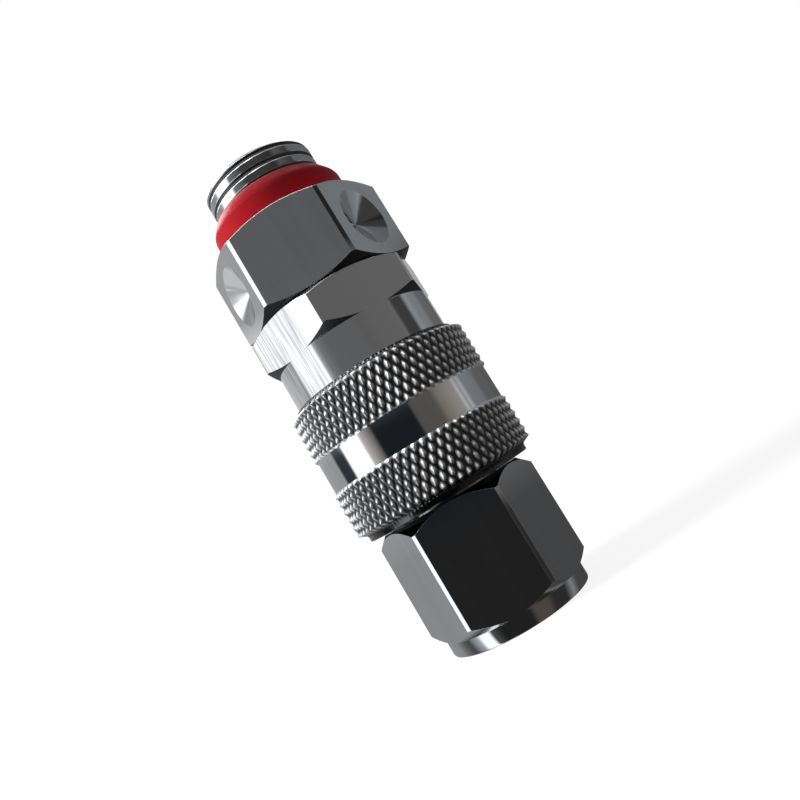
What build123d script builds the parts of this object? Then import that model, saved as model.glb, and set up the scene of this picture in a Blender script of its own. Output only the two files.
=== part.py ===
from build123d import *
import math
import os

os.makedirs("parts", exist_ok=True)

# Quick connect air fitting, shown coupled: a plug below and a socket above it.
# Millimetres, +Z up along the bore. The origin is the middle of the plug's
# lower face, so the coupled pair stands upright on it.

# Sizes shared by several pieces
running_gap = 0.1          # radial clearance between pieces that slide or turn
seat_gap = 0.05            # end clearance between pieces that rest on each other
edge_break = 0.3           # small turned chamfer on bores and ends
bevel_cut = 0.29           # how far a hexagon corner is cut back along each flat
overlap = 1.0              # how far one turned part runs into the next, to join them

# Plug
plug_across_flats = 17.0
plug_collar_radius = 8.45
plug_collar_height = 1.75
plug_rim_fillet = 0.25
plug_foot_slope = 40.0     # degrees from level
plug_shoulder_slope = 45.0
plug_shoulder_inset = 0.1  # the flat on top stays this far inside the flats
plug_hex_top = 14.8
port_bore_radius = 5.9     # crests of the quarter inch female pipe thread
port_depth = 10.5
port_chamfer = 0.85
stem_radius = 5.95         # the guide and the locking collar share this size
nose_radius = 5.0
nose_reach = 1.97          # how far the nose reaches past the groove of its seal
flow_radius = 3.5

# Locking balls and the groove they sit in
ball_count = 8
ball_radius = 1.5
ball_rise = 4.4            # from the plug's shoulder up to the balls
ball_stand_out = 0.1       # how far the locked balls stand out of the tube
groove_depth = 0.95        # a ball moves outward this far to let the plug go
groove_half_floor = 1.0
groove_half_mouth = 1.65
locking_collar_length = 0.95
collar_room = 0.4          # free height above the locking collar
nose_room = 0.2            # free height above the nose

# Socket body
plug_room = 0.3            # from the plug's shoulder up to the body
socket_across_flats = 19.0
body_hex_length = 5.0      # from the neck's shoulder to the body's upper end
neck_length = 5.95
shoulder_slope = 31.0      # degrees from level, where the flats run out
body_turn = 23.77          # degrees the body hexagon stands turned from the plug's
boss_bore_radius = 7.5
boss_seat = 0.6            # ledge that the adapter's boss stops at
boss_room = 0.3            # free height below the boss
chamber_height = 6.2
throat_length = 0.8
seal_land = 1.52           # bore between the step and the seal's groove
seal_section = 0.88
seal_room = 0.04           # free width outside the seal

# Inlet adapter
adapter_height = 9.65
adapter_turn = -2.05
hex_chamfer_slope = 30.0
spigot_radius = 6.78       # crests of the quarter inch male pipe thread
spigot_length = 8.0
relief_depth = 0.58        # run-out groove below the thread, where the washer sits
relief_room = 0.15         # how far the groove shows above the washer
spigot_chamfer = 0.5
spigot_bore_radius = 4.2
dimple_radius = 3.5
dimple_depth = 1.55
boss_depth = 4.0
boss_wall = 0.41           # left inside the groove of the boss
spring_pocket = 1.5        # how far the boss bore runs up into the hexagon
o_ring_section = 0.62
o_ring_land = 0.68         # boss left above the groove

# Sealing washer
washer_radius = 8.2
washer_height = 4.25
washer_cone_height = 1.4
washer_lip = 0.37          # how far the upper lip reaches outside the thread

# Valve
valve_travel = 3.0
pusher_radius = 4.25
pusher_wall = 0.75
pusher_clearance = 0.15
window_width = 5.94
window_foot = 1.2          # solid tube below the windows
window_bar = 0.5           # solid tube above them
valve_head_clearance = 1.2 # ring left free for the air
valve_head_height = 1.1
valve_seal_height = 1.0
valve_stem_radius = 2.2
valve_stem_length = 2.2
valve_spring_wire = 0.35
valve_spring_turns = 5.0

# Locking sleeve
sleeve_room = 0.2          # from the plug's shoulder up to the sleeve
sleeve_cover = 1.4         # how far the sleeve reaches over the neck
sleeve_travel = 3.0
sleeve_wall = 1.0          # from the bore out to the plain band
knurl_height = 0.33        # how far the knurled bands stand out of the plain one
lower_knurl_slope = 0.62   # height of the turned slope above the lip
upper_knurl_slope = 0.72   # height of the turned slope at the upper end
lip_wall = 0.73
lip_height = 0.55
sleeve_top_chamfer = 1.05
ramp_foot = 1.0            # straight part of the bore below the ramp
ramp_clearance = 0.08
land_clearance = 0.06
land_length = 2.18

# Diamond knurl of the two bands: rows of four-sided points
knurl_count = 68           # points round one row
knurl_steps = 5            # steps between the rows of one band
knurl_row = 0.98           # height of one step
knurl_depth = 0.36         # from the points down to the valleys
knurl_run_out = 0.33       # end slope beside the plain band
knurl_inset = 0.15         # how far the end faces stay inside the band and the lip

# Sleeve spring and retaining ring
sleeve_spring_wire = 0.5   # radius of the wire
sleeve_spring_turns = 3.5
sleeve_spring_room = 0.62  # free width beside the wire
ring_margin = 0.75         # tube left below the ring
ring_height = 0.9
ring_groove_depth = 0.4
ring_opening = 36.0        # degrees

# Sizes that follow from the ones above
ball_height = plug_hex_top + ball_rise
groove_radius = stem_radius - groove_depth
bore_radius = stem_radius + running_gap
nose_bore_radius = nose_radius + running_gap
ball_rest = groove_radius + running_gap + ball_radius
tube_radius = ball_rest + ball_radius - ball_stand_out
neck_radius = tube_radius + 2 * sleeve_spring_wire + sleeve_spring_room
locking_collar_top = ball_height + groove_half_mouth + locking_collar_length
bore_step = locking_collar_top + collar_room
seal_groove_radius = nose_radius + running_gap / 2 + 2 * seal_section + seal_room
seal_height = bore_step + (bore_radius - nose_bore_radius) + seal_land + seal_section + seat_gap
stem_top = seal_height + seal_section + seat_gap + nose_reach
nose_bore_top = stem_top + nose_room
throat_radius = pusher_radius + pusher_clearance
chamber_radius = boss_bore_radius - boss_seat
chamber_floor = nose_bore_top + (nose_bore_radius - throat_radius) + throat_length
chamber_top = chamber_floor + chamber_height
boss_bottom = chamber_top + boss_room
adapter_bottom = boss_bottom + boss_depth
adapter_top = adapter_bottom + adapter_height
body_bottom = plug_hex_top + plug_room
body_top = adapter_bottom - seat_gap
shoulder_height = body_top - body_hex_length
neck_bottom = shoulder_height - neck_length
port_mouth_radius = port_bore_radius + port_chamfer
plug_shoulder_radius = plug_across_flats / 2 - plug_shoulder_inset
boss_radius = boss_bore_radius - seat_gap
o_ring_floor = boss_radius - 2 * o_ring_section - running_gap
o_ring_height = adapter_bottom - o_ring_land - seat_gap - o_ring_section
boss_bore = o_ring_floor - boss_wall
relief_radius = spigot_radius - relief_depth
spigot_top = adapter_top + spigot_length
washer_bottom = adapter_top + seat_gap
washer_top = adapter_top + washer_height
washer_lip_radius = spigot_radius + washer_lip
relief_top = washer_top + relief_room
pusher_bottom = stem_top + seat_gap
valve_seal_bottom = chamber_floor + seat_gap + valve_travel
valve_head_bottom = valve_seal_bottom + valve_seal_height
valve_head_top = valve_head_bottom + valve_head_height
valve_head_radius = chamber_radius - valve_head_clearance
spring_ceiling = adapter_bottom + spring_pocket
valve_spring_radius = (boss_bore + spigot_bore_radius) / 2
sleeve_bottom = plug_hex_top + sleeve_room
sleeve_top = neck_bottom + sleeve_cover
ramp_rate = groove_depth / sleeve_travel
ramp_length = math.hypot(1, ramp_rate)
ramp_touch_radius = ball_rest + (ball_radius + ramp_clearance) / ramp_length
ramp_touch_height = ball_height + (ball_radius + ramp_clearance) * ramp_rate / ramp_length
ramp_start = sleeve_bottom + ramp_foot
ramp_start_radius = ramp_touch_radius + ramp_rate * (ramp_touch_height - ramp_start)
land_radius = tube_radius + land_clearance
ramp_end = ramp_touch_height + (ramp_touch_radius - land_radius) / ramp_rate
sleeve_shoulder = ramp_end + land_length
sleeve_bore_radius = neck_radius + running_gap
band_radius = sleeve_bore_radius + sleeve_wall
knurl_radius = band_radius + knurl_height
knurl_root = knurl_radius - knurl_depth
knurl_rise = knurl_run_out + knurl_steps * knurl_row
lower_knurl_bottom = sleeve_bottom + lip_height
lower_knurl_top = lower_knurl_bottom + lower_knurl_slope + knurl_rise
upper_knurl_bottom = sleeve_top - upper_knurl_slope - knurl_rise
lip_radius = ramp_start_radius + lip_wall
ring_bottom = body_bottom + ring_margin
ring_top = ring_bottom + ring_height
ring_radius = ramp_touch_radius + ramp_rate * (ramp_touch_height - ring_top) - ramp_clearance
ring_seat_radius = tube_radius - ring_groove_depth


def corner_radius(across_flats):
    """Radius of the circle through the corners of a hexagon."""
    return across_flats / math.sqrt(3)


def rise(across_flats, inner_radius, slope):
    """Height that a turned cone gains from inner_radius out to the corners."""
    return (corner_radius(across_flats) - inner_radius) * math.tan(math.radians(slope))


def hexagon(across_flats, turn):
    """Hexagon with a flat toward -Y before it is turned, its corners bevelled."""
    RegularPolygon(across_flats / 2, 6, major_radius=False, rotation=turn)
    chamfer(vertices(), bevel_cut)


# Plug: hexagon with a round collar below and the stem that enters the socket
with BuildPart() as plug:
    with BuildSketch(Plane.XY):
        hexagon(plug_across_flats, 0)
    extrude(amount=plug_hex_top)
    foot_rise = rise(plug_across_flats, plug_collar_radius, plug_foot_slope)
    shoulder_drop = rise(plug_across_flats, plug_shoulder_radius, plug_shoulder_slope)
    with BuildSketch(Plane.XZ):
        with BuildLine():
            Polyline(
                (0, 0),
                (plug_collar_radius, 0),
                (plug_collar_radius, plug_collar_height),
                (corner_radius(plug_across_flats), plug_collar_height + foot_rise),
                (corner_radius(plug_across_flats), plug_hex_top - shoulder_drop),
                (plug_shoulder_radius, plug_hex_top),
                (0, plug_hex_top),
                close=True,
            )
        make_face()
    revolve(axis=Axis.Z, mode=Mode.INTERSECT)
    with BuildSketch(Plane.XZ):
        with BuildLine():
            Polyline(
                (0, 0),
                (plug_collar_radius, 0),
                (plug_collar_radius, plug_collar_height),
                (0, plug_collar_height),
                close=True,
            )
        make_face()
    revolve(axis=Axis.Z)
    with BuildSketch(Plane.XZ):
        with BuildLine():
            Polyline(
                (0, plug_hex_top),
                (stem_radius, plug_hex_top),
                (stem_radius, ball_height - groove_half_mouth),
                (groove_radius, ball_height - groove_half_floor),
                (groove_radius, ball_height + groove_half_floor),
                (stem_radius, ball_height + groove_half_mouth),
                (stem_radius, locking_collar_top),
                (nose_radius, locking_collar_top + (stem_radius - nose_radius)),
                (nose_radius, stem_top - edge_break),
                (nose_radius - edge_break, stem_top),
                (0, stem_top),
                close=True,
            )
        make_face()
    revolve(axis=Axis.Z)
    with BuildSketch(Plane.XZ):
        with BuildLine():
            Polyline(
                (0, 0),
                (port_mouth_radius, 0),
                (port_bore_radius, port_mouth_radius - port_bore_radius),
                (port_bore_radius, port_depth),
                (flow_radius, port_depth + (port_bore_radius - flow_radius) / math.sqrt(3)),
                (flow_radius, stem_top),
                (0, stem_top),
                close=True,
            )
        make_face()
    revolve(axis=Axis.Z, mode=Mode.SUBTRACT)
    foot_rim = plug.edges().filter_by(GeomType.CIRCLE).filter_by_position(Axis.Z, -0.01, 0.01)
    fillet(foot_rim.sort_by(SortBy.RADIUS)[-1], plug_rim_fillet)
plug.part.label = "plug"
export_step(plug.part, "parts/plug.step")

# Ring that seals on the nose of the plug
with BuildPart() as plug_seal:
    with BuildSketch(Plane.XZ):
        with Locations((nose_radius + running_gap / 2 + seal_section, seal_height)):
            Circle(seal_section)
    revolve(axis=Axis.Z)
plug_seal.part.label = "plug_seal"
export_step(plug_seal.part, "parts/plug_seal.step")

# Socket body: front tube with ball holes, neck with the run-out flats, hexagon
with BuildPart() as socket_body:
    with BuildSketch(Plane.XY.offset(neck_bottom)):
        hexagon(socket_across_flats, body_turn)
    extrude(amount=body_top - neck_bottom)
    shoulder_rise = rise(socket_across_flats, neck_radius, shoulder_slope)
    top_drop = rise(socket_across_flats, socket_across_flats / 2, hex_chamfer_slope)
    with BuildSketch(Plane.XZ):
        with BuildLine():
            Polyline(
                (0, neck_bottom),
                (neck_radius - edge_break, neck_bottom),
                (neck_radius, neck_bottom + edge_break),
                (neck_radius, shoulder_height),
                (corner_radius(socket_across_flats), shoulder_height + shoulder_rise),
                (corner_radius(socket_across_flats), body_top - top_drop),
                (socket_across_flats / 2, body_top),
                (0, body_top),
                close=True,
            )
        make_face()
    revolve(axis=Axis.Z, mode=Mode.INTERSECT)
    with BuildSketch(Plane.XZ):
        with BuildLine():
            Polyline(
                (0, body_bottom),
                (tube_radius - edge_break, body_bottom),
                (tube_radius, body_bottom + edge_break),
                (tube_radius, ring_bottom - seat_gap),
                (ring_seat_radius - seat_gap, ring_bottom - seat_gap),
                (ring_seat_radius - seat_gap, ring_top + seat_gap),
                (tube_radius, ring_top + seat_gap),
                (tube_radius, neck_bottom + overlap),
                (0, neck_bottom + overlap),
                close=True,
            )
        make_face()
    revolve(axis=Axis.Z)
    with BuildSketch(Plane.XZ):
        with BuildLine():
            Polyline(
                (0, body_bottom),
                (bore_radius + edge_break, body_bottom),
                (bore_radius, body_bottom + edge_break),
                (bore_radius, bore_step),
                (nose_bore_radius, bore_step + (bore_radius - nose_bore_radius)),
                (nose_bore_radius, seal_height - seal_section - seat_gap),
                (seal_groove_radius, seal_height - seal_section - seat_gap),
                (seal_groove_radius, seal_height + seal_section + seat_gap),
                (nose_bore_radius, seal_height + seal_section + seat_gap),
                (nose_bore_radius, nose_bore_top),
                (throat_radius, nose_bore_top + (nose_bore_radius - throat_radius)),
                (throat_radius, chamber_floor),
                (chamber_radius, chamber_floor),
                (chamber_radius, chamber_top),
                (boss_bore_radius, chamber_top),
                (boss_bore_radius, body_top - edge_break),
                (boss_bore_radius + edge_break, body_top),
                (0, body_top),
                close=True,
            )
        make_face()
    revolve(axis=Axis.Z, mode=Mode.SUBTRACT)
    ball_level = Plane.XY.offset(ball_height)
    with Locations(ball_level):
        with PolarLocations((tube_radius + groove_radius) / 2, ball_count):
            Cylinder(ball_radius + running_gap, tube_radius - groove_radius + overlap,
                     rotation=(0, 90, 0), mode=Mode.SUBTRACT)
socket_body.part.label = "socket_body"
export_step(socket_body.part, "parts/socket_body.step")

# Inlet adapter: hexagon with three drilled dimples, spigot above, boss below
with BuildPart() as inlet_adapter:
    with BuildSketch(Plane.XY.offset(adapter_bottom)):
        hexagon(socket_across_flats, adapter_turn)
    extrude(amount=adapter_height)
    with BuildSketch(Plane.XZ):
        with BuildLine():
            Polyline(
                (0, adapter_bottom),
                (socket_across_flats / 2, adapter_bottom),
                (corner_radius(socket_across_flats), adapter_bottom + top_drop),
                (corner_radius(socket_across_flats), adapter_top - top_drop),
                (socket_across_flats / 2, adapter_top),
                (0, adapter_top),
                close=True,
            )
        make_face()
    revolve(axis=Axis.Z, mode=Mode.INTERSECT)
    with BuildSketch(Plane.XZ):
        with BuildLine():
            Polyline(
                (0, boss_bottom),
                (boss_radius - edge_break, boss_bottom),
                (boss_radius, boss_bottom + edge_break),
                (boss_radius, o_ring_height - o_ring_section - seat_gap),
                (o_ring_floor, o_ring_height - o_ring_section - seat_gap),
                (o_ring_floor, o_ring_height + o_ring_section + seat_gap),
                (boss_radius, o_ring_height + o_ring_section + seat_gap),
                (boss_radius, adapter_bottom + overlap),
                (relief_radius, adapter_bottom + overlap),
                (relief_radius, relief_top),
                (spigot_radius, relief_top),
                (spigot_radius, spigot_top - spigot_chamfer),
                (spigot_radius - spigot_chamfer, spigot_top),
                (0, spigot_top),
                close=True,
            )
        make_face()
    revolve(axis=Axis.Z)
    with BuildSketch(Plane.XZ):
        with BuildLine():
            Polyline(
                (0, boss_bottom),
                (boss_bore, boss_bottom),
                (boss_bore, spring_ceiling),
                (spigot_bore_radius, spring_ceiling),
                (spigot_bore_radius, spigot_top - edge_break),
                (spigot_bore_radius + edge_break, spigot_top),
                (0, spigot_top),
                close=True,
            )
        make_face()
    revolve(axis=Axis.Z, mode=Mode.SUBTRACT)
    for face_number in (1, 3, 5):
        face_angle = adapter_turn - 90 + 60 * face_number
        face_plane = Plane(
            origin=Vector(socket_across_flats / 2, 0, adapter_bottom + adapter_height / 2)
            .rotate(Axis.Z, face_angle),
            z_dir=Vector(-1, 0, 0).rotate(Axis.Z, face_angle),
        )
        with Locations(face_plane):
            Cone(dimple_radius, 0, dimple_depth, mode=Mode.SUBTRACT,
                 align=(Align.CENTER, Align.CENTER, Align.MIN))
inlet_adapter.part.label = "inlet_adapter"
export_step(inlet_adapter.part, "parts/inlet_adapter.step")

# Sealing washer round the foot of the spigot
with BuildPart() as sealing_washer:
    with BuildSketch(Plane.XZ):
        with BuildLine():
            Polyline(
                (relief_radius + seat_gap, washer_bottom),
                (washer_radius, washer_bottom),
                (washer_radius, washer_top - washer_cone_height),
                (washer_lip_radius, washer_top),
                (relief_radius + seat_gap, washer_top),
                close=True,
            )
        make_face()
    revolve(axis=Axis.Z)
sealing_washer.part.label = "sealing_washer"
export_step(sealing_washer.part, "parts/sealing_washer.step")

# Ring that seals the adapter in the body
with BuildPart() as adapter_o_ring:
    with BuildSketch(Plane.XZ):
        with Locations((boss_radius - o_ring_section, o_ring_height)):
            Circle(o_ring_section)
    revolve(axis=Axis.Z)
adapter_o_ring.part.label = "adapter_o_ring"
export_step(adapter_o_ring.part, "parts/adapter_o_ring.step")

# Valve poppet: a windowed pusher tube, the head and a stem for the spring
with BuildPart() as valve_poppet:
    with BuildSketch(Plane.XY.offset(pusher_bottom)):
        Circle(pusher_radius)
        Circle(pusher_radius - pusher_wall, mode=Mode.SUBTRACT)
    extrude(amount=valve_head_bottom - pusher_bottom)
    with BuildSketch(Plane.XY.offset(pusher_bottom + window_foot)):
        Rectangle(window_width, 4 * pusher_radius)
        Rectangle(4 * pusher_radius, window_width)
    extrude(amount=valve_seal_bottom - window_bar - pusher_bottom - window_foot, mode=Mode.SUBTRACT)
    with BuildSketch(Plane.XY.offset(valve_head_bottom)):
        Circle(valve_head_radius)
    extrude(amount=valve_head_height)
    with BuildSketch(Plane.XY.offset(valve_head_top)):
        Circle(valve_stem_radius)
    extrude(amount=valve_stem_length)
valve_poppet.part.label = "valve_poppet"
export_step(valve_poppet.part, "parts/valve_poppet.step")

# Flat rubber ring under the valve head
with BuildPart() as valve_seal:
    with BuildSketch(Plane.XY.offset(valve_seal_bottom)):
        Circle(valve_head_radius - edge_break)
        Circle(pusher_radius + seat_gap, mode=Mode.SUBTRACT)
    extrude(amount=valve_seal_height - seat_gap)
valve_seal.part.label = "valve_seal"
export_step(valve_seal.part, "parts/valve_seal.step")


def coil(name, bottom, top, coil_radius, wire_radius, turns):
    """Round wire spring between two heights."""
    height = top - bottom - 2 * wire_radius
    with BuildPart() as spring:
        with BuildLine():
            path = Helix(height / turns, height, coil_radius, center=(0, 0, bottom + wire_radius))
        with BuildSketch(Plane(origin=path @ 0, z_dir=path % 0)):
            Circle(wire_radius)
        sweep(path=path, is_frenet=True)
    spring.part.label = name
    export_step(spring.part, "parts/" + name + ".step")


coil("valve_spring", valve_head_top + seat_gap, spring_ceiling - seat_gap,
     valve_spring_radius, valve_spring_wire, valve_spring_turns)
coil("sleeve_spring", sleeve_shoulder + seat_gap, neck_bottom - seat_gap,
     (tube_radius + sleeve_bore_radius) / 2, sleeve_spring_wire, sleeve_spring_turns)

# Locking balls, one piece each
for ball_number in range(ball_count):
    with BuildPart() as locking_ball:
        ball_angle = 360 / ball_count * ball_number
        with Locations(Vector(ball_rest, 0, ball_height).rotate(Axis.Z, ball_angle)):
            Sphere(ball_radius)
    locking_ball.part.label = "locking_ball_" + str(ball_number + 1)
    export_step(locking_ball.part, "parts/locking_ball_" + str(ball_number + 1) + ".step")


def knurl_ring(height, crest_radius, valley_radius, shift):
    """Corners of one row, crest and valley in turn, starting with a crest where shift is 0."""
    ring = []
    for column in range(2 * knurl_count):
        radius = valley_radius if (column + shift) % 2 else crest_radius
        swing = math.pi * column / knurl_count
        ring.append(Vector(radius * math.cos(swing), radius * math.sin(swing), height))
    return ring


def knurled_bar(heights, foot_radius, head_radius):
    """Solid bar with a diamond knurl, one row at each height but the first and last.

    Each cell between two rows is folded along its valley line into two
    triangles, so that four triangles meet in every point of the knurl.
    """
    last = len(heights) - 1
    rings = [knurl_ring(heights[0], foot_radius, foot_radius, 0)]
    for row in range(1, last):
        rings.append(knurl_ring(heights[row], knurl_radius, knurl_root, row))
    rings.append(knurl_ring(heights[last], head_radius, head_radius, last))
    skin = [Face(Wire.make_polygon(rings[0])), Face(Wire.make_polygon(rings[last]))]
    for row in range(last):
        lower, upper = rings[row], rings[row + 1]
        for column in range(2 * knurl_count):
            beside = (column + 1) % (2 * knurl_count)
            if (column + row) % 2:
                folds = (
                    [lower[column], lower[beside], upper[beside]],
                    [lower[column], upper[beside], upper[column]],
                )
            else:
                folds = (
                    [lower[column], lower[beside], upper[column]],
                    [lower[beside], upper[beside], upper[column]],
                )
            skin += [Face(Wire.make_polygon(fold)) for fold in folds]
    return Solid(Shell(skin))


lower_rows = [lower_knurl_top - knurl_run_out - knurl_row * step for step in range(knurl_steps, -1, -1)]
upper_rows = [upper_knurl_bottom + knurl_run_out + knurl_row * step for step in range(knurl_steps + 1)]
lower_knurl = knurled_bar(
    [lower_knurl_bottom, *lower_rows, lower_knurl_top],
    lip_radius - knurl_inset,
    band_radius - knurl_inset,
)
upper_knurl = knurled_bar(
    [upper_knurl_bottom, *upper_rows, sleeve_top],
    band_radius - knurl_inset,
    knurl_radius - sleeve_top_chamfer,
)

# Locking sleeve: plain band between two knurled bands, ball ramp inside
with BuildPart() as locking_sleeve:
    with BuildSketch(Plane.XY.offset(sleeve_bottom)):
        Circle(lip_radius)
    extrude(amount=lip_height)
    add(lower_knurl)
    with BuildSketch(Plane.XY.offset(lower_knurl_top)):
        Circle(band_radius)
    extrude(amount=upper_knurl_bottom - lower_knurl_top)
    add(upper_knurl)
    with BuildSketch(Plane.XZ):
        with BuildLine():
            Polyline(
                (0, sleeve_bottom),
                (ramp_start_radius, sleeve_bottom),
                (ramp_start_radius, ramp_start),
                (land_radius, ramp_end),
                (land_radius, sleeve_shoulder),
                (sleeve_bore_radius, sleeve_shoulder),
                (sleeve_bore_radius, sleeve_top),
                (0, sleeve_top),
                close=True,
            )
        make_face()
    revolve(axis=Axis.Z, mode=Mode.SUBTRACT)
locking_sleeve.part.label = "locking_sleeve"
export_step(locking_sleeve.part, "parts/locking_sleeve.step")

# Split ring that keeps the sleeve on the body
with BuildPart() as retaining_ring:
    with BuildSketch(Plane.XY.offset(ring_bottom)):
        Circle(ring_radius)
        Circle(ring_seat_radius, mode=Mode.SUBTRACT)
    extrude(amount=ring_height)
    with BuildSketch(Plane.XY.offset(ring_bottom)):
        with BuildLine():
            half_opening = math.radians(ring_opening / 2)
            Polyline(
                (0, 0),
                (2 * ring_radius * math.cos(half_opening), 2 * ring_radius * math.sin(half_opening)),
                (2 * ring_radius * math.cos(half_opening), -2 * ring_radius * math.sin(half_opening)),
                close=True,
            )
        make_face()
    extrude(amount=ring_height, mode=Mode.SUBTRACT)
retaining_ring.part.label = "retaining_ring"
export_step(retaining_ring.part, "parts/retaining_ring.step")
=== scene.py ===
import math

import bmesh
import bpy
import numpy as np
from bpy.props import FloatProperty, FloatVectorProperty, IntProperty, PointerProperty
from mathutils import Matrix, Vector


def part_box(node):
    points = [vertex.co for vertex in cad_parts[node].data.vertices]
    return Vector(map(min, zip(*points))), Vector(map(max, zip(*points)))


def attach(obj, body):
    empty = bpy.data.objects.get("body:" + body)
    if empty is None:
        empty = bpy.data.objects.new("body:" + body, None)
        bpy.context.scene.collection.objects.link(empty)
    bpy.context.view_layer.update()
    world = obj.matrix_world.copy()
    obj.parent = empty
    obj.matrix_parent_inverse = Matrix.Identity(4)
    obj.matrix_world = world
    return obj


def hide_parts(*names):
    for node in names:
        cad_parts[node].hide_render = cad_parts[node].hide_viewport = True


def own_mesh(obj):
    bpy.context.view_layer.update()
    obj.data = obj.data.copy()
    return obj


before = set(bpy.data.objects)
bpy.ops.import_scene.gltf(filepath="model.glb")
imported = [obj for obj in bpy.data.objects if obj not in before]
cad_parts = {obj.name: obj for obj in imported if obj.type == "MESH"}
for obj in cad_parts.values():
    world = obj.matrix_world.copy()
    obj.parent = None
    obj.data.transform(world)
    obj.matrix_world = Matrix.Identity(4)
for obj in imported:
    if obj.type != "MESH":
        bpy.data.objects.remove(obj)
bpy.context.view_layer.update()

bl_info = {
    "name": "Quick connect fitting",
    "version": (1, 0, 0),
    "blender": (4, 5, 0),
    "location": "3D View > Sidebar > Fitting",
    "description": "Chrome-plated quick connect fitting: pieces, finishes and studio",
    "category": "Object",
}

MM = 0.001
TURN = 2 * math.pi
BALLS = 8
CHAMFER_SLOPE = math.tan(math.radians(30))
NECK_SLOPE = math.tan(math.radians(31))
COLLAR_SLOPE = math.tan(math.radians(40))


def top_of(node):
    """Height of a node's highest corner."""
    return float(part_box(node)[1][2])


def foot_of(node):
    """Height of a node's lowest corner."""
    return float(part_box(node)[0][2])


def reach_of(node):
    """Largest distance of a node's box from the bore axis, along X."""
    return float(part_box(node)[1][0])


def length(name, description, default):
    """A length in metres, written in millimetres."""
    return FloatProperty(
        name=name, description=description, default=default * MM,
        subtype="DISTANCE", unit="LENGTH", precision=5)


def colour(name, description, default):
    """A linear colour."""
    return FloatVectorProperty(name=name, description=description, default=default, subtype="COLOR", size=3)


def angle(name, description, default):
    """An angle, written in degrees."""
    return FloatProperty(name=name, description=description, default=math.radians(default), subtype="ANGLE")


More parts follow.
